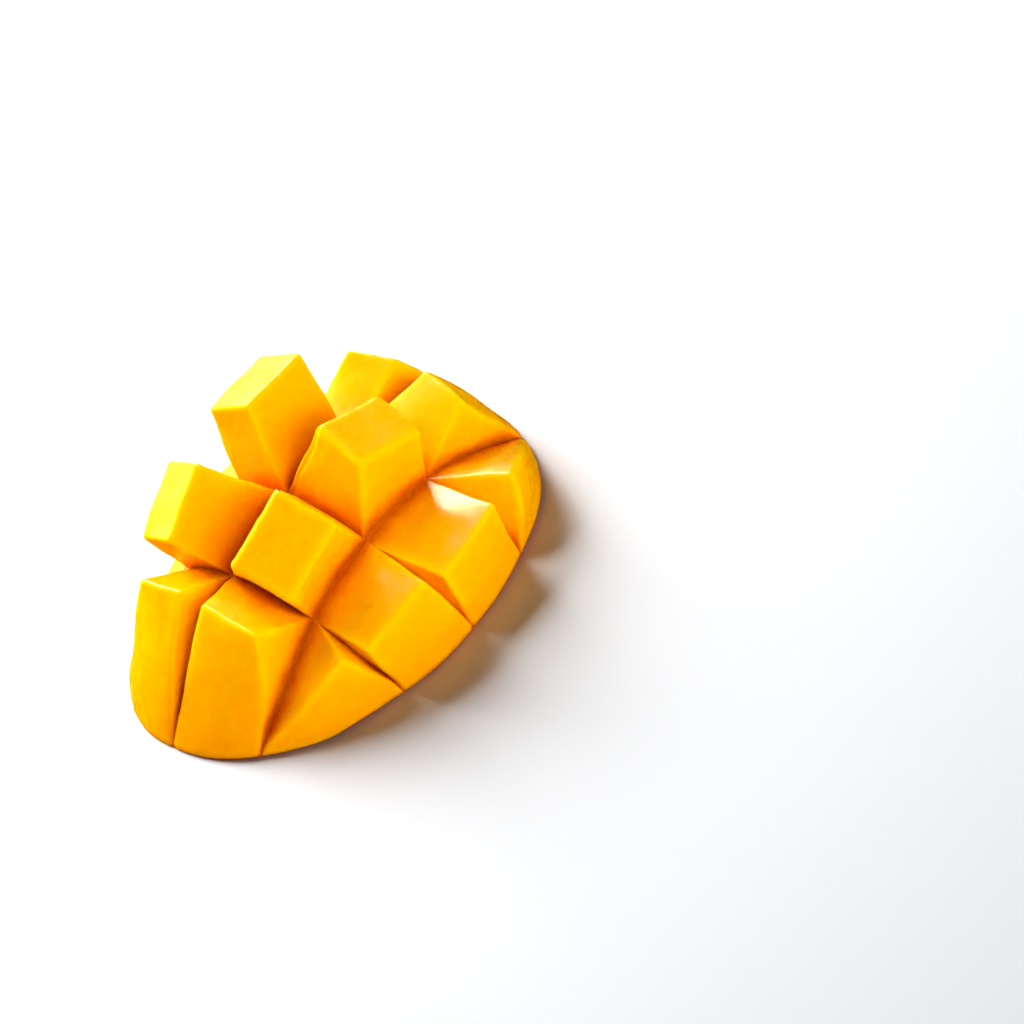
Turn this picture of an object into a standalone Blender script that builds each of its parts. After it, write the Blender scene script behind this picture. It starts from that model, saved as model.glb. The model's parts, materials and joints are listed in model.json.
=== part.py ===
"""A scored mango cheek, turned inside out so that its blocks stand apart.

The cheek is the piece sliced from one side of the stone: an oval flat face, and behind it
flesh that thins to nothing at the rim, as half an ellipsoid. A knife has cut it along and
across, down to the skin. Pushed up from the skin side it turns over: the skin becomes a low
dome that stands on its rim, and the blocks on it fan apart, so each cut opens to a V.

X runs along the cheek, Y across it and Z up, in metres. A block is named by its column
(0 to 3 along X) and its row (0 to 3 along Y).
"""

import math

import bmesh
import bpy
import numpy as np
from mathutils import Euler, Matrix, Vector

# The cheek as it was cut from the fruit
NEAR_END_X = 0.060
FAR_END_X = 0.057
LOW_SIDE_Y = 0.037
HIGH_SIDE_Y = 0.028
SQUARENESS = 2.4
NEAR_LOW_SQUARENESS = 2.0
FLESH_DEPTH = 0.024
CROSS_CUTS_X = (-0.023, 0.0, 0.023)
LONG_CUTS_Y = (-0.017, 0.001, 0.0145)
CUT_WIDTH = 0.0003

# The skin once it is turned over
DOME_RISE = 0.029
STRETCH_X = 1.05
STRETCH_Y = 1.33
GROOVE_DEPTH = 0.0015
BASE_THICKNESS = 0.0024
RIM_LEDGE = 0.0006
RIM_ROUNDING = 0.0008
FOOT_FLAT = 0.0008

# The blocks on it
BLOCK_STEPS = 6
BASE_STEPS = 18
SINK = 0.0008
LEAST_DEPTH = 0.0004
EDGE_ROUNDING = 0.0008

# How far each block leans from its seat, in degrees about X, Y and Z
LEANS = {
    (0, 0): (-8, 11, 8),
    (0, 1): (-14, 9, -13),
    (0, 2): (25, 13, 17),
    (0, 3): (10, 30, -10),
    (1, 0): (1, -4, -4),
    (1, 1): (4, -9, -4),
    (1, 2): (11, -10, 7),
    (1, 3): (7, -9, 10),
    (2, 0): (11, -10, -4),
    (2, 1): (-4, 8, -8),
    (2, 2): (18, 2, 7),
    (2, 3): (-25, 0, 0),
    (3, 0): (8, 2, 3),
    (3, 1): (-4, 11, -4),
    (3, 2): (30, 12, 7),
    (3, 3): (0, 0, 0),
}

# How much taller or shorter a block is than the fruit's even curve would give
EXTRA_HEIGHTS = {
    (0, 2): 0.0021,
    (0, 3): -0.0060,
    (1, 3): -0.0087,
    (2, 1): -0.0014,
    (2, 2): 0.0029,
    (3, 1): -0.0008,
}

# How much wider and longer a block's top is than its foot, and how far it is off along X
# and Y, where the knife didn't cut straight down
TOPS = {
    (1, 2): (0.91, 1.03, -0.0007, 0.0003),
    (1, 3): (0.95, 0.78, 0.0002, 0.0008),
    (2, 0): (1.05, 1.00, 0.0003, 0.0),
    (2, 1): (0.96, 0.90, 0.0, -0.0002),
    (2, 2): (1.06, 1.06, 0.0002, 0.0001),
    (3, 1): (0.94, 0.82, 0.0008, -0.0011),
}

# How far an outer block's flat face bulges between its inner edge and the rim
CROWN = 0.0010
FULLER_CROWNS = {(0, 2): 0.0024}


def outline_at(x, y):
    """The half length, the half width and the squareness of that quarter of the outline."""
    half_length = FAR_END_X if x > 0.0 else NEAR_END_X
    half_width = HIGH_SIDE_Y if y > 0.0 else LOW_SIDE_Y
    power = SQUARENESS if x > 0.0 or y > 0.0 else NEAR_LOW_SQUARENESS
    return half_length, half_width, power


def out_from_centre(x, y):
    """0 at the middle of the flat face and 1 on its rim, a superellipse."""
    half_length, half_width, power = outline_at(x, y)
    return (abs(x / half_length) ** power + abs(y / half_width) ** power) ** (1.0 / power)


def skin_in_fruit(x, y):
    """The skin behind a point of the flat face, before the cheek is turned over."""
    depth = FLESH_DEPTH * math.sqrt(max(0.0, 1.0 - out_from_centre(x, y) ** 2))
    return Vector((x, y, -depth))


def skin_turned(x, y):
    """The same point of the skin on the dome, whose rim is level."""
    rise = DOME_RISE * (1.0 - out_from_centre(x, y) ** 2)
    return Vector((STRETCH_X * x, STRETCH_Y * y, rise))


def dome_normal(x, y):
    """The outward normal of the dome there."""
    step = 0.0002
    along = skin_turned(x + step, y) - skin_turned(x - step, y)
    across = skin_turned(x, y + step) - skin_turned(x, y - step)
    return along.cross(across).normalized()


def groove_floor(x, y):
    """The flesh left over the skin between the blocks; at the rim it is the dome itself."""
    groove = GROOVE_DEPTH * math.sqrt(max(0.0, 1.0 - out_from_centre(x, y) ** 2))
    return skin_turned(x, y) - groove * dome_normal(x, y)


def signed_power(value, power):
    return math.copysign(abs(value) ** power, value)


def on_rim(angle):
    x, y = math.cos(angle), math.sin(angle)
    half_length, half_width, power = outline_at(x, y)
    return (half_length * signed_power(x, 2.0 / power), half_width * signed_power(y, 2.0 / power))


def rim_angle(point):
    half_length, half_width, power = outline_at(*point)
    x = signed_power(point[0] / half_length, power / 2.0)
    return math.atan2(signed_power(point[1] / half_width, power / 2.0), x)


def turn_between(start, end):
    """The shorter way round from one angle to another."""
    return (end - start + math.pi) % (2.0 * math.pi) - math.pi


def crossing(i, j):
    """Where line i across the cheek meets line j along it; lines 0 and 4 are the rim."""
    x = CROSS_CUTS_X[i - 1] if 0 < i < 4 else None
    y = LONG_CUTS_Y[j - 1] if 0 < j < 4 else None
    if x is not None and y is not None:
        return (x, y)
    if x is not None:
        side = 1.0 if j == 4 else -1.0
        half_length, half_width, power = outline_at(x, side)
        share = (1.0 - abs(x / half_length) ** power) ** (1.0 / power)
        return (x, side * half_width * share)
    if y is not None:
        side = 1.0 if i == 4 else -1.0
        half_length, half_width, power = outline_at(side, y)
        share = (1.0 - abs(y / half_width) ** power) ** (1.0 / power)
        return (side * half_length * share, y)
    start = rim_angle(crossing(i, 1 if j == 0 else 3))
    end = rim_angle(crossing(1 if i == 0 else 3, j))
    return on_rim(start + 0.5 * turn_between(start, end))


def edge_point(start, end, along_rim, share):
    """A point of a block's outline on the flat face: on a straight cut or on the rim."""
    if along_rim:
        angle = rim_angle(start)
        return on_rim(angle + share * turn_between(angle, rim_angle(end)))
    return (
        start[0] + share * (end[0] - start[0]),
        start[1] + share * (end[1] - start[1]),
    )


def face_point(column, row, s, t):
    """The point at shares s and t of a block's patch of the flat face, a Coons patch."""
    corners = [[crossing(column + i, row + j) for j in (0, 1)] for i in (0, 1)]
    low = edge_point(corners[0][0], corners[1][0], row == 0, s)
    high = edge_point(corners[0][1], corners[1][1], row == 3, s)
    left = edge_point(corners[0][0], corners[0][1], column == 0, t)
    right = edge_point(corners[1][0], corners[1][1], column == 3, t)
    point = []
    for axis in (0, 1):
        ruled = (1 - t) * low[axis] + t * high[axis] + (1 - s) * left[axis] + s * right[axis]
        bilinear = (1 - s) * ((1 - t) * corners[0][0][axis] + t * corners[0][1][axis])
        bilinear += s * ((1 - t) * corners[1][0][axis] + t * corners[1][1][axis])
        point.append(ruled - bilinear)
    return point


def seat(column, row):
    """The move of a block's flat face.

    The rigid move brings the block's four skin corners closest to the dome, and the face
    is spread about its own middle before it.
    """
    crossings = [crossing(column + i, row + j) for i in (0, 1) for j in (0, 1)]
    before = np.array([skin_in_fruit(*point) for point in crossings])
    after = np.array([skin_turned(*point) for point in crossings])
    centre_before = before.mean(axis=0)
    centre_after = after.mean(axis=0)
    spread = (before - centre_before).T @ (after - centre_after)
    left, _, right = np.linalg.svd(spread)
    mirror = np.diag([1.0, 1.0, np.sign(np.linalg.det(right.T @ left.T))])
    turn = Matrix((right.T @ mirror @ left.T).tolist())
    lean = Euler([math.radians(angle) for angle in LEANS[column, row]], "XYZ").to_matrix()
    pivot = Vector(centre_after)
    whole = (lean @ turn).to_4x4()
    rigid = Matrix.Translation(pivot) @ whole @ Matrix.Translation(-Vector(centre_before))
    wider, longer, off_x, off_y = TOPS.get((column, row), (1.0, 1.0, 0.0, 0.0))
    spread = Matrix.Diagonal((wider, longer, 1.0, 1.0))
    middle = Vector((*np.mean(crossings, axis=0), 0.0))
    off = Vector((off_x, off_y, EXTRA_HEIGHTS.get((column, row), 0.0)))
    return rigid @ Matrix.Translation(middle + off) @ spread @ Matrix.Translation(-middle)


def flat_face_turned(column, row, s, t, rest):
    """Where the block's flat face is at shares s and t, once the cheek is turned over.

    It only moves with its block at the inner edges. An outer block's skin ends on the rim,
    so its outer edge is drawn there from where its block has it, by a share that grows
    evenly outwards. Between its edges the face bulges a little.
    """
    x, y = face_point(column, row, s, t)
    top = rest @ Vector((x, y, 0.0))
    share_s = {0: 1.0 - s, 3: s}.get(column, 0.0)
    share_t = {0: 1.0 - t, 3: t}.get(row, 0.0)
    share = 1.0 - (1.0 - share_s) * (1.0 - share_t)
    if share == 0.0:
        return top
    out = out_from_centre(x, y)
    rim_x, rim_y = x / out, y / out
    crown = 4.0 * share * (1.0 - share) * FULLER_CROWNS.get((column, row), CROWN)
    drawn = share * (skin_turned(rim_x, rim_y) - rest @ Vector((rim_x, rim_y, 0.0)))
    return top + drawn + crown * dome_normal(x, y)


def flesh_material(name):
    material = bpy.data.materials.new(name)
    material.use_nodes = True
    shader = material.node_tree.nodes["Principled BSDF"]
    shader.inputs["Base Color"].default_value = (0.95, 0.46, 0.02, 1.0)
    shader.inputs["Roughness"].default_value = 0.35
    shader.inputs["Metallic"].default_value = 0.0
    return material


def new_object(name, mesh_data, collection, material):
    mesh = bpy.data.meshes.new(name)
    mesh_data.to_mesh(mesh)
    mesh_data.free()
    mesh.materials.append(material)
    made = bpy.data.objects.new(name, mesh)
    collection.objects.link(made)
    return made


def make_base(collection, material):
    """The dome: the skin with the thin flesh under the cuts, a little past the blocks."""
    mesh_data = bmesh.new()
    bmesh.ops.create_grid(
        mesh_data, x_segments=BASE_STEPS, y_segments=BASE_STEPS, size=1.0
    )
    for vertex in mesh_data.verts:
        x, y, _ = vertex.co
        round_x = x * math.sqrt(1.0 - y * y / 2.0)
        round_y = y * math.sqrt(1.0 - x * x / 2.0)
        reach = math.hypot(round_x, round_y) * (1.0 + RIM_LEDGE / LOW_SIDE_Y)
        rim_x, rim_y = on_rim(math.atan2(round_y, round_x))
        vertex.co = groove_floor(reach * rim_x, reach * rim_y)
    base = new_object("mango_cheek", mesh_data, collection, material)
    shell = base.modifiers.new("Skin thickness", "SOLIDIFY")
    shell.thickness = BASE_THICKNESS
    shell.offset = -1.0
    shell.use_even_offset = True
    rounding = base.modifiers.new("Rim rounding", "BEVEL")
    rounding.limit_method = "ANGLE"
    rounding.angle_limit = math.radians(50.0)
    rounding.width = RIM_ROUNDING
    rounding.segments = 2
    return base


def make_block(column, row, collection, material):
    """A cube whose top is laid on the block's flat face and whose foot on the dome."""
    mesh_data = bmesh.new()
    bmesh.ops.create_cube(mesh_data, size=2.0)
    for axis in (0, 1):
        along = [
            edge
            for edge in mesh_data.edges
            if abs(edge.verts[0].co[axis] - edge.verts[1].co[axis]) > 1.5
        ]
        bmesh.ops.subdivide_edges(
            mesh_data, edges=along, cuts=BLOCK_STEPS - 1, use_grid_fill=True
        )

    def on_outline(vertex):
        """Which sides of the block the vertex is on, leaving out those on the rim."""
        x, y, _ = vertex.co
        sides = set()
        if x < -0.999 and column > 0:
            sides.add("left")
        if x > 0.999 and column < 3:
            sides.add("right")
        if y < -0.999 and row > 0:
            sides.add("low")
        if y > 0.999 and row < 3:
            sides.add("high")
        return sides

    rounded = []
    for edge in mesh_data.edges:
        first, second = edge.verts
        shared = on_outline(first) & on_outline(second)
        upright = abs(first.co.z - second.co.z) > 1.0
        on_top = first.co.z > 0.0 and second.co.z > 0.0
        if (upright and len(shared) == 2) or (on_top and len(shared) == 1):
            rounded.append(edge)

    rest = seat(column, row)
    for vertex in mesh_data.verts:
        inset = 1.0 - CUT_WIDTH / 0.020
        s = 0.5 + 0.5 * inset * vertex.co.x
        t = 0.5 + 0.5 * inset * vertex.co.y
        x, y = face_point(column, row, s, t)
        normal = dome_normal(x, y)
        foot = groove_floor(x, y) - SINK * normal
        if vertex.co.z < 0.0:
            vertex.co = foot
            continue
        top = flat_face_turned(column, row, s, t, rest)
        short = LEAST_DEPTH - (top - foot).dot(normal)
        vertex.co = top + max(short, 0.0) * normal
    bmesh.ops.bevel(
        mesh_data,
        geom=rounded,
        offset=EDGE_ROUNDING,
        segments=1,
        affect="EDGES",
        clamp_overlap=True,
    )
    return new_object(f"block_{column}_{row}", mesh_data, collection, material)


def make_floor_cutter(collection, material):
    """Takes the lowest edge off the rim, which leaves the narrow ring it stands on."""
    mesh_data = bmesh.new()
    bmesh.ops.create_cube(mesh_data, size=0.2)
    cutter = new_object("floor_cutter", mesh_data, collection, material)
    cutter.hide_render = True
    cutter.display_type = "WIRE"
    return cutter


def bake(target):
    """Gives the object the mesh that its modifiers make, and removes them."""
    graph = bpy.context.evaluated_depsgraph_get()
    mesh = bpy.data.meshes.new_from_object(target.evaluated_get(graph))
    target.modifiers.clear()
    target.data = mesh


def join(target, name, operation, **operand):
    modifier = target.modifiers.new(name, "BOOLEAN")
    modifier.operation = operation
    modifier.solver = "MANIFOLD"
    for key, value in operand.items():
        setattr(modifier, key, value)
    bake(target)


def keep_outer_shell(target):
    """Fills any pocket that leaning blocks seal between them, by removing its walls."""
    mesh_data = bmesh.new()
    mesh_data.from_mesh(target.data)
    unseen = set(mesh_data.verts)
    shells = []
    while unseen:
        shell = set()
        reached = [unseen.pop()]
        while reached:
            vertex = reached.pop()
            shell.add(vertex)
            for edge in vertex.link_edges:
                other = edge.other_vert(vertex)
                if other in unseen:
                    unseen.remove(other)
                    reached.append(other)
        shells.append(shell)
    shells.sort(key=len)
    for shell in shells[:-1]:
        bmesh.ops.delete(mesh_data, geom=list(shell), context="VERTS")
    mesh_data.to_mesh(target.data)
    mesh_data.free()


def lowest(target):
    return min(vertex.co.z for vertex in target.data.vertices)


def centre_on_floor(target):
    """Moves the mesh so that the bottom centre of its box is at the origin."""
    points = np.array([vertex.co for vertex in target.data.vertices])
    low = points.min(axis=0)
    high = points.max(axis=0)
    middle = (low + high) / 2.0
    target.data.transform(Matrix.Translation((-middle[0], -middle[1], -low[2])))


for leftover in list(bpy.data.objects):
    bpy.data.objects.remove(leftover, do_unlink=True)

fruit = bpy.data.collections.new("scored_mango_cheek")
blocks = bpy.data.collections.new("blocks")
cutters = bpy.data.collections.new("cutters")
for group in (fruit, blocks, cutters):
    bpy.context.scene.collection.children.link(group)

flesh = flesh_material("mango_flesh")
cheek = make_base(fruit, flesh)
bake(cheek)
for column in range(4):
    for row in range(4):
        make_block(column, row, blocks, flesh)

join(cheek, "Blocks", "UNION", operand_type="COLLECTION", collection=blocks)
floor_cutter = make_floor_cutter(cutters, flesh)
floor_cutter.location.z = lowest(cheek) + FOOT_FLAT - 0.1
join(cheek, "Foot", "DIFFERENCE", operand_type="OBJECT", object=floor_cutter)
keep_outer_shell(cheek)

for spare in list(blocks.objects) + list(cutters.objects):
    bpy.data.objects.remove(spare, do_unlink=True)
for group in (blocks, cutters):
    bpy.data.collections.remove(group)
centre_on_floor(cheek)
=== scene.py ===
"""Looks of a scored mango cheek that is turned inside out, on a pale floor.

X runs along the cheek, Y across it and Z up, in metres, as in the solid. Its skin is a low
dome that stands on its rim, and sixteen blocks of flesh fan apart on it.
"""

import json
import math

import bmesh
import bpy
import numpy as np
from mathutils import Matrix, Vector

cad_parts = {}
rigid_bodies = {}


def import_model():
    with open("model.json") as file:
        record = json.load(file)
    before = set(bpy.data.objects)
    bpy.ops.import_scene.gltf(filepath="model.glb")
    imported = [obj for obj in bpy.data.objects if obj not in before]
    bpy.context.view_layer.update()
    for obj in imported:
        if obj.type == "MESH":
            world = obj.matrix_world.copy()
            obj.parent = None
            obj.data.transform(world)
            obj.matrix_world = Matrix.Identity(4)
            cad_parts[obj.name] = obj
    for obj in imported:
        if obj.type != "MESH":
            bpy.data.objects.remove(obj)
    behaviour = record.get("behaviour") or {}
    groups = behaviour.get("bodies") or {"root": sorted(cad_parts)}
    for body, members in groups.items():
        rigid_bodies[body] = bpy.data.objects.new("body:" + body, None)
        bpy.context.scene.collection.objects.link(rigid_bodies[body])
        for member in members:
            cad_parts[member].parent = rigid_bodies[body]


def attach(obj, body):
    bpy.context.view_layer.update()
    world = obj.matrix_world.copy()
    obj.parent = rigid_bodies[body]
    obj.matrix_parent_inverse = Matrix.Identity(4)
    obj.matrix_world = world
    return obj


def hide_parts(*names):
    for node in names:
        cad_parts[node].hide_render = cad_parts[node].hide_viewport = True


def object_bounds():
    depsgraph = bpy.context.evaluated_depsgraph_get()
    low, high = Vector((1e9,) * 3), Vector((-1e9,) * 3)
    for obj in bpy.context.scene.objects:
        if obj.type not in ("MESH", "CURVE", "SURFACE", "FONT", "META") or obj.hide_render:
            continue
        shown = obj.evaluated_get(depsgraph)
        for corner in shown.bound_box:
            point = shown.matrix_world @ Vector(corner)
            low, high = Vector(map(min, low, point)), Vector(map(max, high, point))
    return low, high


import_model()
cad_low, cad_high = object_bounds()


# ---------------------------------------------------------------- peel
# The skin of the cheek, thin and leathery. The cheek was sliced from one side of the
# stone, scored from its flat face and pushed inside out, so the skin is now a low dome
# that stands on its level rim, with its coloured outside turned down.

NEAR_END_X = 0.060
FAR_END_X = 0.057
LOW_SIDE_Y = 0.037
HIGH_SIDE_Y = 0.028
SQUARENESS = 2.4
NEAR_LOW_SQUARENESS = 2.0
FLESH_DEPTH = 0.024

DOME_RISE = 0.029
STRETCH_X = 1.05
STRETCH_Y = 1.33
GROOVE_DEPTH = 0.0015
FLESH_SHEET = 0.0017
PEEL_THICKNESS = 0.0008
PEEL_OVERLAP = 0.0001
PEEL_TOP = FLESH_SHEET - PEEL_OVERLAP
PEEL_REACH = -0.0003  # past the rim, so the peel stops a little short of it
RIM_STEPS = 260
PEEL_RINGS = 60
EDGE_RINGS = 6
INNERMOST = 0.02  # where the first ring round the pole is, on the way out to 1
SMALL_STEP = 0.0002
FAR_FROM_EDGE = 0.02  # what the sheet says, since it has no cut edge

PEEL_RED = (0.36, 0.012, 0.010, 1.0)
PEEL_GREEN = (0.20, 0.13, 0.010, 1.0)
PEEL_ORANGE = (0.66, 0.17, 0.006, 1.0)
PEEL_DOTS = (0.75, 0.42, 0.16, 1.0)
PEEL_PATCHES_PER_METRE = 42.0
PEEL_DOTS_PER_METRE = 260.0
PEEL_PORES_PER_METRE = 900.0
ORANGE_FROM, ORANGE_TO = -0.014, -0.003  # the height in the fruit where the rim's orange starts


def outline_at(x, y):
    """The half length, half width and squareness of the quarter that each point is in."""
    half_length = np.where(x > 0.0, FAR_END_X, NEAR_END_X)
    half_width = np.where(y > 0.0, HIGH_SIDE_Y, LOW_SIDE_Y)
    power = np.where((x > 0.0) | (y > 0.0), SQUARENESS, NEAR_LOW_SQUARENESS)
    return half_length, half_width, power


def out_from_centre(x, y):
    """Superellipse: the sum of |x / length| and |y / width| to a power, and its root."""
    half_length, half_width, power = outline_at(x, y)
    return (abs(x / half_length) ** power + abs(y / half_width) ** power) ** (1.0 / power)


def thinning(x, y):
    """From 1 at the centre to 0 at the rim: the root of 1 less the squared way out."""
    return np.sqrt(np.maximum(0.0, 1.0 - out_from_centre(x, y) ** 2))


def skin_turned(x, y):
    """Paraboloid: x and y are stretched, and the rise is 1 less the squared way out."""
    rise = DOME_RISE * (1.0 - out_from_centre(x, y) ** 2)
    return np.stack([STRETCH_X * x, STRETCH_Y * y, rise], axis=-1)


def unit(vectors):
    """Each vector divided by its own length."""
    return vectors / np.maximum(np.linalg.norm(vectors, axis=-1, keepdims=True), 1e-12)


def dome_normal(x, y):
    """The cross product of the dome's slopes along X and along Y, by small steps."""
    along = skin_turned(x + SMALL_STEP, y) - skin_turned(x - SMALL_STEP, y)
    across = skin_turned(x, y + SMALL_STEP) - skin_turned(x, y - SMALL_STEP)
    return unit(np.cross(along, across))


def groove_floor(x, y):
    """The dome lowered along its normal by a depth that ends at the rim."""
    return skin_turned(x, y) - GROOVE_DEPTH * thinning(x, y)[..., None] * dome_normal(x, y)


def signed_power(values, power):
    """The size of each value raised to a power, with the value's own sign."""
    return np.copysign(abs(values) ** power, values)


def on_rim(angle):
    """The superellipse by angle: cosine and sine to the power 2 / squareness."""
    x, y = np.cos(angle), np.sin(angle)
    half_length, half_width, power = outline_at(x, y)
    return (
        half_length * signed_power(x, 2.0 / power),
        half_width * signed_power(y, 2.0 / power),
    )


def store(mesh, name, values):
    """Puts one number or one vector for each vertex into the mesh as an attribute."""
    values = np.asarray(values, dtype=np.float32)
    kind, field = ("FLOAT", "value") if values.ndim == 1 else ("FLOAT_VECTOR", "vector")
    layer = mesh.attributes.new(name, kind, "POINT")
    layer.data.foreach_set(field, values.ravel())


def make_mesh(name, points, faces):
    """A mesh object at the origin, from an array of points and lists of their indices."""
    mesh = bpy.data.meshes.new(name)
    mesh.from_pydata(points.tolist(), [], faces)
    mesh.update()
    made = bpy.data.objects.new(name, mesh)
    bpy.context.scene.collection.objects.link(made)
    return made


def lens_faces(loops):
    """Quads between each loop of points and the next, and a fan of triangles to each pole."""
    ring, step = np.meshgrid(np.arange(loops - 1), np.arange(RIM_STEPS), indexing="ij")
    after = (step + 1) % RIM_STEPS
    near, far = ring * RIM_STEPS, (ring + 1) * RIM_STEPS
    quads = np.stack([near + step, far + step, far + after, near + after], axis=-1)
    step, after = step[0], after[0]
    last = (loops - 1) * RIM_STEPS
    top_pole = np.full(RIM_STEPS, loops * RIM_STEPS)
    top_fan = np.stack([top_pole, step, after], axis=-1)
    under_fan = np.stack([top_pole + 1, last + after, last + step], axis=-1)
    return quads.reshape(-1, 4).tolist() + top_fan.tolist() + under_fan.tolist()


def dome_sheet(name, top_offset, thickness, reach, rings):
    """A closed lens: out over the top, round the rim in a half circle and back beneath.

    Each point is the groove floor less an offset along the normal. Round the rim the
    offset grows from the top's to the underside's by the cosine of a half turn, and the
    way out by its sine, both times half the thickness. Its attributes say where a point
    was in the fruit and how far it is from the skin and from the nearest cut edge.
    """
    rim_x, rim_y = on_rim(np.linspace(0.0, 2.0 * math.pi, RIM_STEPS, endpoint=False))
    ledge = 1.0 + reach / np.hypot(rim_x, rim_y)
    way_out = np.sin(np.linspace(INNERMOST, 1.0, rings) * math.pi / 2.0)
    share = np.concatenate([way_out, np.ones(EDGE_RINGS), way_out[::-1]])[:, None]
    half_turn = np.linspace(0.0, math.pi, EDGE_RINGS + 2)[1:-1]
    bend = np.concatenate([np.zeros(rings), half_turn, np.full(rings, math.pi)])[:, None]

    x, y = share * ledge * rim_x, share * ledge * rim_y
    normal = dome_normal(x, y)
    floor_points = groove_floor(x, y)
    onward = np.roll(floor_points[rings], -1, axis=0) - floor_points[rings]
    side = unit(np.cross(onward, normal[rings]))
    offset = top_offset + 0.5 * thickness * (1.0 - np.cos(bend))
    points = floor_points - offset[..., None] * normal
    points += 0.5 * thickness * np.sin(bend)[..., None] * side
    poles = np.stack([points[0].mean(axis=0), points[-1].mean(axis=0)])
    points = np.concatenate([points.reshape(-1, 3), poles])
    made = make_mesh(name, points, lens_faces(2 * rings + EDGE_RINGS))

    flat_x, flat_y = np.append(x.ravel(), [0.0, 0.0]), np.append(y.ravel(), [0.0, 0.0])
    deep = np.broadcast_to(offset, x.shape).ravel()
    deep = np.append(deep, [top_offset, top_offset + thickness])
    below = -FLESH_DEPTH * thinning(flat_x, flat_y) - deep
    store(made.data, "fruit_place", np.stack([flat_x, flat_y, below], axis=-1))
    store(made.data, "above_skin", GROOVE_DEPTH - deep)
    store(made.data, "face_up", np.zeros(len(flat_x)))
    store(made.data, "to_edge", np.full(len(flat_x), FAR_FROM_EDGE))
    store(made.data, "towards_rim", np.zeros(len(flat_x)))
    return made


def start_material(name):
    """A new material with its node tree and its shader."""
    material = bpy.data.materials.new(name)
    material.use_nodes = True
    return material, material.node_tree, material.node_tree.nodes["Principled BSDF"]


def attribute(tree, name, output="Fac"):
    """What the mesh stores under that name, as a number or as a vector."""
    node = tree.nodes.new("ShaderNodeAttribute")
    node.attribute_name = name
    return node.outputs[output]


def wire(tree, value, socket):
    """Links a value that another node gives, or sets a plain number or colour."""
    if isinstance(value, bpy.types.NodeSocket):
        tree.links.new(value, socket)
    else:
        socket.default_value = value


def maths(tree, kind, first, second):
    """Two values added or multiplied."""
    node = tree.nodes.new("ShaderNodeMath")
    node.operation = kind
    wire(tree, first, node.inputs[0])
    wire(tree, second, node.inputs[1])
    return node.outputs["Value"]


def between(tree, value, low, high, to_low=0.0, to_high=1.0):
    """A smooth step from one number to another as the value goes from low to high."""
    node = tree.nodes.new("ShaderNodeMapRange")
    node.interpolation_type = "SMOOTHSTEP"
    wire(tree, value, node.inputs["Value"])
    limits = {"From Min": low, "From Max": high, "To Min": to_low, "To Max": to_high}
    for socket, number in limits.items():
        node.inputs[socket].default_value = number
    return node.outputs["Result"]


def mix(tree, share, low, high):
    """The low colour where the share is 0, turning into the high one where it is 1."""
    node = tree.nodes.new("ShaderNodeMix")
    node.data_type = "RGBA"
    wire(tree, share, node.inputs["Factor"])
    wire(tree, low, node.inputs["A"])
    wire(tree, high, node.inputs["B"])
    return node.outputs["Result"]


def stretched(tree, place, stretch):
    """The place times a number for each axis, so a pattern is longer along the smallest."""
    node = tree.nodes.new("ShaderNodeMapping")
    node.inputs["Scale"].default_value = stretch
    wire(tree, place, node.inputs["Vector"])
    return node.outputs["Vector"]


def noise(tree, place, scale, detail=2.0, roughness=0.5):
    """A cloudy pattern from 0 to 1, with as many clouds to the metre as the scale says."""
    node = tree.nodes.new("ShaderNodeTexNoise")
    node.inputs["Scale"].default_value = scale
    node.inputs["Detail"].default_value = detail
    node.inputs["Roughness"].default_value = roughness
    wire(tree, place, node.inputs["Vector"])
    return node.outputs["Fac"]


def relief(tree, shader, height, strength, distance):
    """Fine bumps that follow a height."""
    node = tree.nodes.new("ShaderNodeBump")
    node.inputs["Strength"].default_value = strength
    node.inputs["Distance"].default_value = distance
    wire(tree, height, node.inputs["Height"])
    wire(tree, node.outputs["Normal"], shader.inputs["Normal"])


def peel_material():
    """Red that turns green in patches and orange at the rim, with small pale dots."""
    material, tree, shader = start_material("mango_peel")
    place = attribute(tree, "fruit_place", "Vector")
    split = tree.nodes.new("ShaderNodeSeparateXYZ")
    wire(tree, place, split.inputs["Vector"])
    patches = noise(tree, place, PEEL_PATCHES_PER_METRE, 3.0, 0.55)
    colour = mix(tree, between(tree, patches, 0.50, 0.72), PEEL_RED, PEEL_GREEN)
    low = maths(tree, "ADD", split.outputs["Z"], maths(tree, "MULTIPLY", patches, 0.006))
    colour = mix(tree, between(tree, low, ORANGE_FROM, ORANGE_TO), colour, PEEL_ORANGE)
    dots = tree.nodes.new("ShaderNodeTexVoronoi")
    dots.inputs["Scale"].default_value = PEEL_DOTS_PER_METRE
    wire(tree, place, dots.inputs["Vector"])
    dot = between(tree, dots.outputs["Distance"], 0.10, 0.20, 1.0, 0.0)
    colour = mix(tree, maths(tree, "MULTIPLY", dot, 0.7), colour, PEEL_DOTS)
    wire(tree, colour, shader.inputs["Base Color"])
    pores = noise(tree, place, PEEL_PORES_PER_METRE, 2.0)
    wire(tree, between(tree, patches, 0.3, 0.7, 0.30, 0.42), shader.inputs["Roughness"])
    height = maths(tree, "ADD", maths(tree, "MULTIPLY", dot, 0.6), pores)
    relief(tree, shader, height, 0.25, 0.0002)
    return material


peel = dome_sheet("mango_peel", PEEL_TOP, PEEL_THICKNESS, PEEL_REACH, PEEL_RINGS)
peel.data.materials.append(peel_material())
peel.data.shade_smooth()
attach(peel, "root")
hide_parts("mango_cheek")


# ---------------------------------------------------------------- flesh
# Ripe flesh, wet and soft. A knife cut it along and across, short of the skin, so a thin
# sheet stays on the peel and each block keeps the size it had in the fruit. It sits
# square on its patch of the dome and leans a little its own way.

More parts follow.
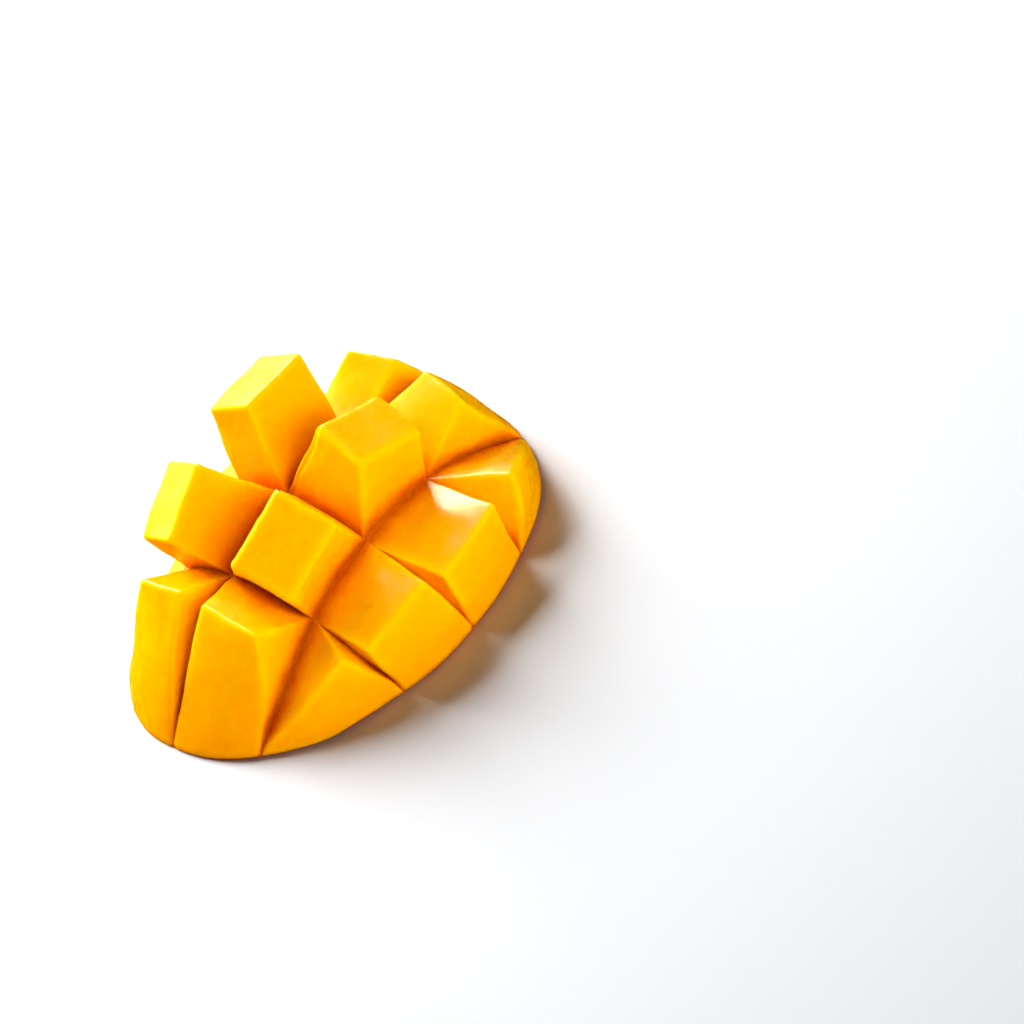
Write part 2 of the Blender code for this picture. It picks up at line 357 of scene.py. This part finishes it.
SHEET_REACH = -0.0006
SHEET_RINGS = 30
CROSS_CUTS_X = (-0.023, 0.0, 0.023)
LONG_CUTS_Y = (-0.017, 0.001, 0.0145)
TOP_INSET = 0.9925  # of its patch; the cuts take the rest
FOOT_INSET = 1.035  # so the feet run into each other below the cuts
SINK = 0.0008  # how far a foot goes into the sheet
LEAST_DEPTH = 0.0004
DEPTH_BLEND = 0.0003  # how softly a top that would sink too low is lifted
OFF_CENTRE = 0.2  # keeps the way out from 0, where the rim has no direction
EDGE_ROUNDING = 0.0011
MOST_ROUNDING = 0.45  # of a block's height
SOFTER_EDGES = {(1, 1): 0.0017, (2, 1): 0.0017}
CORNER_AT_FOOT = 0.15  # of the rounding is left on an upright edge at its foot
ROUNDING_STEPS = 5
FACE_STEPS = 19

# The outer blocks' edges wrap round the rim of the sheet
WRAP_WIDTH = 0.003
WRAP_DEPTH = 0.0013
WRAP_OUT_TOP = 0.0007
WRAP_OUT_FOOT = 0.0003
CROWN = 0.0010
FULLER_CROWNS = {(0, 2): 0.0024}

# Unevenness that the knife and the soft fruit leave
KNIFE_WAVE, KNIFE_WAVE_LENGTH = 0.00028, 0.011
KNIFE_RIPPLE, KNIFE_RIPPLE_LENGTH = 0.00006, 0.0030
SOFT_WARP, SOFT_WARP_LENGTH = 0.0005, 0.030
CALM_AT_SKIN = 0.003

# How far each block leans from its seat, in degrees about X, Y and Z
LEANS = {
    (0, 0): (-8, 11, 8),
    (0, 1): (-14, 9, -13),
    (0, 2): (25, 13, 17),
    (0, 3): (10, 30, -10),
    (1, 0): (1, -4, -4),
    (1, 1): (4, -9, -4),
    (1, 2): (11, -10, 7),
    (1, 3): (7, -9, 10),
    (2, 0): (11, -10, -4),
    (2, 1): (-4, 8, -8),
    (2, 2): (18, 2, 7),
    (2, 3): (-25, 0, 0),
    (3, 0): (8, 2, 3),
    (3, 1): (-4, 11, -4),
    (3, 2): (30, 12, 7),
    (3, 3): (0, 0, 0),
}

# How much taller or shorter a block is than the fruit's even curve would give
EXTRA_HEIGHTS = {
    (0, 2): 0.0021,
    (0, 3): -0.0060,
    (1, 3): -0.0087,
    (2, 1): -0.0014,
    (2, 2): 0.0029,
    (3, 1): -0.0008,
}

# How much wider and longer a block's top is than its foot, and how far it is off along X
# and Y, where the knife didn't cut straight down
TOPS = {
    (1, 2): (0.91, 1.03, -0.0007, 0.0003),
    (1, 3): (0.95, 0.78, 0.0002, 0.0008),
    (2, 0): (1.05, 1.00, 0.0003, 0.0),
    (2, 1): (0.96, 0.90, 0.0, -0.0002),
    (2, 2): (1.06, 1.06, 0.0002, 0.0001),
    (3, 1): (0.94, 0.82, 0.0008, -0.0011),
}

FLESH_YELLOW = (0.97, 0.435, 0.0, 1.0)
FLESH_DEEPER = (0.96, 0.355, 0.0, 1.0)
# Partly the flesh's own deep colour at the skin, partly painted shade low in the grooves
FLESH_AT_SKIN_AND_GROOVE_SHADE = (0.60, 0.09, 0.0, 1.0)
FLESH_PALE = (0.98, 0.52, 0.0, 1.0)
# A painted glow along the blocks' edges
PAINTED_EDGE_GLOW = (0.99, 0.62, 0.0, 1.0)
FLESH_PATCHES_PER_METRE = 190.0
FIBRES_PER_METRE = 1500.0
FIBRE_STRETCH = (0.16, 1.0, 1.0)
GRAIN_PER_METRE = 2600.0
DEEPER_FROM, DEEPER_TO = 0.0008, 0.0075  # heights above the skin
YELLOW_FROM, YELLOW_TO = 0.004, 0.016
EDGE_GLOW_WIDTH = 0.0035


def rim_angle(x, y):
    """The angle from which on_rim gives this point: its two powers undone."""
    half_length, half_width, power = outline_at(x, y)
    along = signed_power(x / half_length, power / 2.0)
    return np.arctan2(signed_power(y / half_width, power / 2.0), along)


def turn_between(start, end):
    """The shorter way round from one angle to another."""
    return (end - start + math.pi) % (2.0 * math.pi) - math.pi


def crossing(i, j):
    """Where line i across the cheek meets line j along it; lines 0 and 4 are the rim."""
    x = CROSS_CUTS_X[i - 1] if 0 < i < 4 else None
    y = LONG_CUTS_Y[j - 1] if 0 < j < 4 else None
    if x is not None and y is not None:
        return (x, y)
    if x is not None:
        side = 1.0 if j == 4 else -1.0
        half_length, half_width, power = outline_at(x, side)
        return (x, side * half_width * (1.0 - abs(x / half_length) ** power) ** (1.0 / power))
    if y is not None:
        side = 1.0 if i == 4 else -1.0
        half_length, half_width, power = outline_at(side, y)
        return (side * half_length * (1.0 - abs(y / half_width) ** power) ** (1.0 / power), y)
    start = rim_angle(*crossing(i, 1 if j == 0 else 3))
    end = rim_angle(*crossing(1 if i == 0 else 3, j))
    return on_rim(start + 0.5 * turn_between(start, end))


def edge_points(start, end, along_rim, share):
    """Points of a block's outline on the flat face: on a straight cut or on the rim."""
    if along_rim:
        angle = rim_angle(*start)
        return on_rim(angle + share * turn_between(angle, rim_angle(*end)))
    return tuple(start[k] + share * (end[k] - start[k]) for k in (0, 1))


def face_points(column, row, s, t):
    """Coons patch: the two ruled surfaces between facing edges, less the bilinear one."""
    corners = [[crossing(column + i, row + j) for j in (0, 1)] for i in (0, 1)]
    low = edge_points(corners[0][0], corners[1][0], row == 0, s)
    high = edge_points(corners[0][1], corners[1][1], row == 3, s)
    left = edge_points(corners[0][0], corners[0][1], column == 0, t)
    right = edge_points(corners[1][0], corners[1][1], column == 3, t)
    patch = []
    for k in (0, 1):
        ruled = (1 - t) * low[k] + t * high[k] + (1 - s) * left[k] + s * right[k]
        bilinear = (1 - s) * ((1 - t) * corners[0][0][k] + t * corners[0][1][k])
        bilinear += s * ((1 - t) * corners[1][0][k] + t * corners[1][1][k])
        patch.append(ruled - bilinear)
    return patch


def euler_matrix(angles):
    """Turns about X, then Y, then Z, each from its cosine and sine."""
    (cx, sx), (cy, sy), (cz, sz) = [(math.cos(a), math.sin(a)) for a in angles]
    about_x = np.array([[1, 0, 0], [0, cx, -sx], [0, sx, cx]])
    about_y = np.array([[cy, 0, sy], [0, 1, 0], [-sy, 0, cy]])
    about_z = np.array([[cz, -sz, 0], [sz, cz, 0], [0, 0, 1]])
    return about_z @ about_y @ about_x


def seat(column, row):
    """The turn and the shift of a block's flat face.

    The rigid move brings the block's four skin corners closest to the dome, and the face
    is spread about its own middle before it.
    """
    crossings = np.array([crossing(column + i, row + j) for i in (0, 1) for j in (0, 1)], float)
    x, y = crossings[:, 0], crossings[:, 1]
    before = np.stack([x, y, -FLESH_DEPTH * thinning(x, y)], axis=-1)
    after = skin_turned(x, y)
    centre_before, centre_after = before.mean(axis=0), after.mean(axis=0)
    left, _, right = np.linalg.svd((before - centre_before).T @ (after - centre_after))
    mirror = np.diag([1.0, 1.0, np.sign(np.linalg.det(right.T @ left.T))])
    turn = euler_matrix(np.radians(LEANS[column, row])) @ right.T @ mirror @ left.T
    wider, longer, off_x, off_y = TOPS.get((column, row), (1.0, 1.0, 0.0, 0.0))
    spread = np.diag([wider, longer, 1.0])
    middle = np.array([x.mean(), y.mean(), 0.0])
    off = np.array([off_x, off_y, EXTRA_HEIGHTS.get((column, row), 0.0)])
    return turn @ spread, centre_after + turn @ (middle + off - spread @ middle - centre_before)


def rim_share(column, row, s, t):
    """1 on the rim, falling evenly to 0 at an outer block's inner edges."""
    share_s = {0: 1.0 - s, 3: s}.get(column, 0.0 * s)
    share_t = {0: 1.0 - t, 3: t}.get(row, 0.0 * t)
    return 1.0 - (1.0 - share_s) * (1.0 - share_t)


def reach_rim(share, x, y, turn, shift):
    """Draws the outer edge of an outer block to the rim, since its skin ends there.

    It is the share of the way from where the rigid block has its rim to the dome's.
    """
    out = np.maximum(out_from_centre(x, y), OFF_CENTRE)
    rim_x, rim_y = x / out, y / out
    rigid = np.stack([rim_x, rim_y, np.zeros_like(x)], axis=-1) @ turn.T + shift
    return share[..., None] * (skin_turned(rim_x, rim_y) - rigid)


def wrap_share(x, y):
    """A smooth step from 0 to 1 over the last stretch before the rim."""
    out = np.maximum(out_from_centre(x, y), OFF_CENTRE)
    to_rim = np.hypot(x, y) * (1.0 / out - 1.0)
    share = np.clip(1.0 - to_rim / WRAP_WIDTH, 0.0, 1.0)
    return (share * share * (3.0 - 2.0 * share))[..., None]


def block_ends(column, row, s, t):
    """The foot and the top of a block for shares s and t of its patch.

    The foot is on the groove floor and a little below it. The top is the flat face, moved
    with its block, drawn to the rim, bent by a parabola of that share, and kept at least a
    little above the dome. Both wrap outwards down the slope at the rim.
    """
    turn, shift = seat(column, row)
    foot_x, foot_y = face_points(column, row, *(0.5 + FOOT_INSET * (v - 0.5) for v in (s, t)))
    x, y = face_points(column, row, *(0.5 + TOP_INSET * (v - 0.5) for v in (s, t)))
    normal = dome_normal(x, y)
    slope = unit(skin_turned(1.001 * x, 1.001 * y) - skin_turned(x, y))
    wrap = wrap_share(x, y)
    share = rim_share(column, row, s, t)

    foot = groove_floor(foot_x, foot_y) - (SINK + WRAP_DEPTH * wrap) * normal
    top = np.stack([x, y, np.zeros_like(x)], axis=-1) @ turn.T + shift
    top += reach_rim(share, x, y, turn, shift)
    crown = 4.0 * share * (1.0 - share) * FULLER_CROWNS.get((column, row), CROWN)
    top += crown[..., None] * normal
    short = LEAST_DEPTH - ((top - groove_floor(x, y)) * normal).sum(axis=-1) - SINK
    lift = 0.5 * (short + np.sqrt(short**2 + DEPTH_BLEND**2))
    top += lift[..., None] * normal
    return x, y, foot + WRAP_OUT_FOOT * wrap * slope, top + WRAP_OUT_TOP * wrap * slope


def waves(points, length, seed, count=9):
    """Smooth unevenness of about -1 to 1: the mean of sines in seeded directions."""
    rng = np.random.default_rng(seed)
    heading = unit(rng.normal(size=(count, 3)))
    pitch = 2.0 * math.pi / (length * rng.uniform(0.7, 1.5, count))
    phase = rng.uniform(0.0, 2.0 * math.pi, count)
    return np.sin(points @ (heading * pitch[:, None]).T + phase).mean(axis=-1) * 1.6


def uneven(points, length, seed):
    """Three such waves, one for each axis."""
    return np.stack([waves(points, length, seed + axis) for axis in range(3)], axis=-1)


def ticks(index, length, rounding):
    """Grid lines: close together over the rounding at both ends, even between them."""
    last = 2 * ROUNDING_STEPS + FACE_STEPS
    start = rounding * index / ROUNDING_STEPS
    end = length - rounding * (last - index) / ROUNDING_STEPS
    middle = rounding + (length - 2 * rounding) * (index - ROUNDING_STEPS) / FACE_STEPS
    near_end = index > last - ROUNDING_STEPS
    return np.where(index < ROUNDING_STEPS, start, np.where(near_end, end, middle))


def cube_lattice():
    """The points and faces of a cube's surface, cut into a grid, with shared edges."""
    last = 2 * ROUNDING_STEPS + FACE_STEPS
    a, b = np.meshgrid(np.arange(last), np.arange(last), indexing="ij")
    faces = []
    for axis in range(3):
        for level in (0, last):
            quad = np.empty((last, last, 4, 3), int)
            for k, (da, db) in enumerate([(0, 0), (1, 0), (1, 1), (0, 1)]):
                quad[..., k, axis] = level
                quad[..., k, (axis + 1) % 3] = a + da
                quad[..., k, (axis + 2) % 3] = b + db
            faces.append(quad[..., ::-1, :] if level == 0 else quad)
    faces = np.concatenate([quad.reshape(-1, 4, 3) for quad in faces])
    keys = (faces * [1, 1000, 1000000]).sum(axis=-1)
    _, first, index = np.unique(keys, return_index=True, return_inverse=True)
    return faces.reshape(-1, 3)[first], index.reshape(-1, 4).tolist()


LATTICE, LATTICE_FACES = cube_lattice()


def mean_sides(column, row):
    """A block's length along s and along t, each the mean of its two facing sides."""
    corners = np.array([crossing(column + i, row + j) for i in (0, 1) for j in (0, 1)], float)
    sides = np.linalg.norm(corners[[2, 3, 1, 3]] - corners[[0, 1, 0, 2]], axis=-1)
    return sides[:2].mean(), sides[2:].mean()


def rounded_box(column, row, long_s, long_t):
    """A cube grid as a box with rounded edges, with each point's height and its radius.

    A point within a radius of an edge steps out from the inner box by that step times its
    largest part over its length. Upright edges sharpen downwards.
    """
    i, j, k = LATTICE.T
    rounding = SOFTER_EDGES.get((column, row), EDGE_ROUNDING)
    radius = rounding * (CORNER_AT_FOOT + (1.0 - CORNER_AT_FOOT) * k / k.max())
    at_s, at_t = ticks(i, long_s, radius), ticks(j, long_t, radius)
    _, _, foot, top = block_ends(column, row, at_s / long_s, at_t / long_t)
    high = np.linalg.norm(top - foot, axis=-1)
    radius_h = np.minimum(rounding, MOST_ROUNDING * high)
    placed = np.stack([at_s, at_t, ticks(k, high, radius_h)], axis=-1)
    radii = np.stack([radius, radius, radius_h], axis=-1)
    most = np.stack([np.full_like(high, long_s), np.full_like(high, long_t), high], axis=-1)
    least = radii * [1.0, 1.0, 0.0] - [0.0, 0.0, 1.0]
    inner = np.clip(placed, least, most - radii)
    step = (placed - inner) / radii
    largest = abs(step).max(axis=-1, keepdims=True)
    span = np.linalg.norm(step, axis=-1, keepdims=True)
    return inner + radii * step * largest / np.maximum(span, 1e-9), high, radius_h


def make_block(column, row):
    """A rounded box bent to lie between the block's foot and its top, then roughened.

    A point's height in the box gives its share of the way from foot to top. The waves of
    the knife fade out at the skin.
    """
    long_s, long_t = mean_sides(column, row)
    rounded, high, radius_h = rounded_box(column, row, long_s, long_t)
    s, t, h = rounded.T
    x, y, foot, top = block_ends(column, row, s / long_s, t / long_t)
    share = h / high
    fruit_place = np.stack([x, y, -FLESH_DEPTH * thinning(x, y) * (1.0 - share)], axis=-1)
    above_skin = share * high - SINK
    points = foot + share[:, None] * (top - foot)
    fade = np.clip(above_skin / CALM_AT_SKIN, 0.0, 1.0)[:, None]
    seed = 100 + 10 * column + row
    points += fade * KNIFE_WAVE * uneven(fruit_place, KNIFE_WAVE_LENGTH, seed)
    points += fade * KNIFE_RIPPLE * uneven(fruit_place, KNIFE_RIPPLE_LENGTH, seed + 50)

    block = make_mesh(f"block_{column}_{row}", points, LATTICE_FACES)
    to_sides = np.sort([s, long_s - s, t, long_t - t, high - h], axis=0)
    store(block.data, "fruit_place", fruit_place)
    store(block.data, "above_skin", above_skin)
    store(block.data, "face_up", np.clip(1.0 - (high - h) / radius_h, 0.0, 1.0))
    store(block.data, "to_edge", to_sides[1])
    store(block.data, "towards_rim", rim_share(column, row, s / long_s, t / long_t))
    return block


def join_blocks(target, collection):
    """Fuses the blocks with the sheet of flesh under them into one closed surface."""
    modifier = target.modifiers.new("Blocks", "BOOLEAN")
    modifier.operation = "UNION"
    modifier.operand_type = "COLLECTION"
    modifier.collection = collection
    modifier.solver = "MANIFOLD"
    graph = bpy.context.evaluated_depsgraph_get()
    mesh = bpy.data.meshes.new_from_object(target.evaluated_get(graph))
    target.modifiers.clear()
    target.data = mesh
    for spare in list(collection.objects):
        bpy.data.objects.remove(spare, do_unlink=True)
    bpy.data.collections.remove(collection)


def drop_loose_corners(target):
    """Dissolves the points in the middle of an edge, where only two edges meet.

    The union leaves them along its seams, where they would split into sliver triangles.
    """
    shell = bmesh.new()
    shell.from_mesh(target.data)
    loose = [corner for corner in shell.verts if len(corner.link_edges) == 2]
    bmesh.ops.dissolve_verts(shell, verts=loose)
    shell.to_mesh(target.data)
    shell.free()


def flesh_material():
    """Yellow flesh that deepens towards the skin, with fibres that run along the fruit, painted
    shade low in the grooves and a painted glow along its edges.
    """
    material, tree, shader = start_material("ripe_flesh")
    shader.inputs["Specular IOR Level"].default_value = 0.35
    shader.inputs["Subsurface Weight"].default_value = 1.0
    shader.inputs["Subsurface Radius"].default_value = (0.85, 0.55, 0.05)
    shader.inputs["Subsurface Scale"].default_value = 0.0042

    place = attribute(tree, "fruit_place", "Vector")
    above = attribute(tree, "above_skin")
    patches = noise(tree, place, FLESH_PATCHES_PER_METRE, 3.0)
    along_fruit = stretched(tree, place, FIBRE_STRETCH)
    fibres = noise(tree, along_fruit, FIBRES_PER_METRE, 2.0, 0.6)
    grain = noise(tree, place, GRAIN_PER_METRE, 2.0, 0.7)

    # Deep orange at the skin and yellow away from it, and yellower on the flat face. Low in the
    # grooves the deep orange is also painted shade
    face_up = attribute(tree, "face_up")
    uneven_skin = maths(tree, "MULTIPLY", patches, 0.0012)
    height = maths(tree, "ADD", above, maths(tree, "MULTIPLY", face_up, 0.003))
    height = maths(tree, "ADD", height, uneven_skin)
    deeper_and_groove_shade = between(tree, height, DEEPER_FROM, DEEPER_TO)
    colour = mix(tree, deeper_and_groove_shade, FLESH_AT_SKIN_AND_GROOVE_SHADE, FLESH_DEEPER)
    colour = mix(tree, between(tree, height, YELLOW_FROM, YELLOW_TO), colour, FLESH_YELLOW)
    colour = mix(tree, between(tree, patches, 0.40, 0.75, 0.0, 0.12), colour, FLESH_PALE)
    colour = mix(tree, between(tree, fibres, 0.55, 0.80, 0.0, 0.30), colour, FLESH_PALE)
    # Flesh that thins out towards the rim lets the skin's colour through
    # Outer faces deepen towards the rim, partly the skin's colour through the thinning flesh,
    # partly painted shade on faces that turn down from the light
    thinner_and_shaded = maths(tree, "MULTIPLY", attribute(tree, "towards_rim"), face_up)
    colour = mix(tree, between(tree, thinner_and_shaded, 0.05, 0.6, 0.0, 0.5), colour, FLESH_DEEPER)
    # A painted glow along each edge, brighter where light would pass through the thin flesh
    painted_edge_glow = between(tree, attribute(tree, "to_edge"), 0.0, EDGE_GLOW_WIDTH, 0.28, 0.0)
    painted_edge_glow = maths(tree, "MULTIPLY", painted_edge_glow, between(tree, above, 0.005, 0.014))
    colour = mix(tree, painted_edge_glow, colour, PAINTED_EDGE_GLOW)
    wire(tree, colour, shader.inputs["Base Color"])

    # Wet and uneven, so its gloss breaks up
    fine = maths(tree, "MULTIPLY", grain, 0.4)
    wet = maths(tree, "ADD", maths(tree, "MULTIPLY", patches, 0.6), fine)
    wire(tree, between(tree, wet, 0.3, 0.7, 0.20, 0.36), shader.inputs["Roughness"])
    # The face that lay on the stone is rougher than the knife cuts
    rough = between(tree, face_up, 0.0, 1.0, 0.35, 1.0)
    low_fibres = maths(tree, "MULTIPLY", fibres, 0.5)
    height = maths(tree, "ADD", maths(tree, "MULTIPLY", grain, rough), low_fibres)
    relief(tree, shader, height, 0.35, 0.0002)
    return material


flesh = dome_sheet("mango_flesh", 0.0, FLESH_SHEET, SHEET_REACH, SHEET_RINGS)
blocks = bpy.data.collections.new("blocks")
bpy.context.scene.collection.children.link(blocks)
for column in range(4):
    for row in range(4):
        block = make_block(column, row)
        bpy.context.scene.collection.objects.unlink(block)
        blocks.objects.link(block)
join_blocks(flesh, blocks)
drop_loose_corners(flesh)
flesh.data.materials.clear()
flesh.data.materials.append(flesh_material())
flesh.data.shade_smooth()
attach(flesh, "root")
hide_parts("mango_cheek")


# ---------------------------------------------------------------- set down on the floor
# The whole cheek is a little soft and uneven. It stands as the solid does, centred on its
# box, and its rim is pressed flat on the floor where it touches.

FOOT_FLAT = 0.0008  # how much of the rim's lowest part is pressed flat


def points_of(target):
    """The mesh's points as an array, one row for each."""
    points = np.empty(len(target.data.vertices) * 3)
    target.data.vertices.foreach_get("co", points)
    return points.reshape(-1, 3)


low = np.minimum(points_of(flesh).min(axis=0), points_of(peel).min(axis=0))
high = np.maximum(points_of(flesh).max(axis=0), points_of(peel).max(axis=0))
move = 0.5 * (np.array(cad_low) + np.array(cad_high)) - 0.5 * (low + high)
move[2] = -(low[2] + FOOT_FLAT)
for piece in (flesh, peel):
    points = points_of(piece) + move
    points += SOFT_WARP * uneven(points, SOFT_WARP_LENGTH, 71)
    points[:, 2] = np.maximum(points[:, 2], 0.0)
    piece.data.vertices.foreach_set("co", points.ravel())
    piece.data.update()


# ---------------------------------------------------------------- floor, light and camera
# A plain pale floor and square soft boxes of light, the strongest behind the cheek and, in
# the picture, to its left. The cheek and the floor have boxes of their own, so that the
# shadow stays deep and short.

FLOOR_HALF_WIDTH = 6.0
FLOOR_WHITE = (0.90, 0.92, 0.95, 1.0)


def make_floor():
    """One level square."""
    half = FLOOR_HALF_WIDTH
    corners = np.array([[-half, -half, 0], [half, -half, 0], [half, half, 0], [-half, half, 0]])
    made = make_mesh("floor", corners, [[0, 1, 2, 3]])
    material, _, shader = start_material("floor_white")
    shader.inputs["Base Color"].default_value = FLOOR_WHITE
    shader.inputs["Roughness"].default_value = 0.9
    made.data.materials.append(material)
    made.visible_glossy = False
    return made


floor = make_floor()

# The camera looks down on the cheek from its near, low side, and is turned on its own
# axis, so that the cheek lies slanted in the picture
VIEW_RIGHT = Vector((0.5788, -0.7606, -0.2941))
VIEW_UP = Vector((0.7128, 0.2967, 0.6355))
PIXELS_PER_METRE = 4000.0
PICTURE = 1024.0
APEX_PIXEL = (288.5, 492.6)  # where the top of the dome is in the picture
CAMERA_DISTANCE = 2.0
SENSOR_WIDTH = 36.0

VIEW_RIGHT.normalize()
VIEW_BACK = VIEW_RIGHT.cross(VIEW_UP).normalized()
VIEW_UP = VIEW_BACK.cross(VIEW_RIGHT)
apex = Vector((move[0], move[1], DOME_RISE + move[2]))
aim = apex + VIEW_RIGHT * ((PICTURE / 2 - APEX_PIXEL[0]) / PIXELS_PER_METRE)
aim += VIEW_UP * ((APEX_PIXEL[1] - PICTURE / 2) / PIXELS_PER_METRE)

camera_data = bpy.data.cameras.new("camera")
camera_data.sensor_width = SENSOR_WIDTH
camera_data.lens = SENSOR_WIDTH * CAMERA_DISTANCE * PIXELS_PER_METRE / PICTURE
camera_data.clip_end = 20.0
camera = bpy.data.objects.new("camera", camera_data)
bpy.context.scene.collection.objects.link(camera)
turned = Matrix((VIEW_RIGHT, VIEW_UP, VIEW_BACK)).transposed().to_4x4()
camera.matrix_world = Matrix.Translation(aim + CAMERA_DISTANCE * VIEW_BACK) @ turned
bpy.context.scene.camera = camera

# The world gives a little even light, and the boxes the rest
BOX_DISTANCE = 1.0
CHEEK_BOX_SIZE = 0.5
GLOSS = (1.0, 1.0, 0.68)
ROOM_LIGHT = 0.02


def add_light(name, right, up, back, power, size, colour=(1.0, 1.0, 1.0)):
    """A square soft light that faces the cheek, placed by the picture's own directions."""
    light_data = bpy.data.lights.new(name, "AREA")
    light_data.energy = power
    light_data.size = size
    light_data.color = colour
    light = bpy.data.objects.new(name, light_data)
    bpy.context.scene.collection.objects.link(light)
    way = (right * VIEW_RIGHT + up * VIEW_UP + back * VIEW_BACK).normalized()
    light.location = apex + BOX_DISTANCE * way
    light.rotation_euler = way.to_track_quat("Z", "Y").to_euler()
    return light


# None of these boxes shows in the wet gloss, and the two gloss boxes show only there
cheek_only = bpy.data.collections.new("cheek_only")
cheek_only.objects.link(flesh)
cheek_only.objects.link(peel)
for name, right, up, back, power in (
    ("back_left_box", -0.81, 0.47, -0.34, 24.5),
    ("left_box", -0.98, 0.0, 0.21, 3.0),
    ("upper_left_box", -0.49, 0.85, 0.21, 7.0),
    ("top_box", -0.30, 0.50, 0.80, 1.0),
    ("front_box", 0.34, 0.0, 0.94, 6.8),
    ("right_box", 0.77, 0.0, 0.64, 5.4),
):
    box = add_light(name, right, up, back, power, CHEEK_BOX_SIZE)
    box.visible_glossy = False
    box.light_linking.receiver_collection = cheek_only

floor_only = bpy.data.collections.new("floor_only")
floor_only.objects.link(floor)
for name, right, up, back, power, size in (
    ("floor_box", -0.72, 0.66, -0.04, 24.5, 0.7),
    ("floor_fill", 0.34, 0.0, 0.94, 0.8, 0.8),
):
    box = add_light(name, right, up, back, power, size)
    box.visible_glossy = False
    box.light_linking.receiver_collection = floor_only

add_light("gloss_box", -0.36, 0.91, -0.22, 8.5, 0.36, GLOSS).visible_diffuse = False
add_light("left_gloss_box", -0.62, 0.52, -0.50, 5.0, 0.9, GLOSS).visible_diffuse = False

world = bpy.data.worlds.new("soft_room")
world.use_nodes = True
background = world.node_tree.nodes["Background"]
background.inputs["Color"].default_value = (1.0, 1.0, 1.0, 1.0)
background.inputs["Strength"].default_value = ROOM_LIGHT
world.cycles_visibility.glossy = False
bpy.context.scene.world = world
bpy.context.scene.view_settings.view_transform = "Standard"
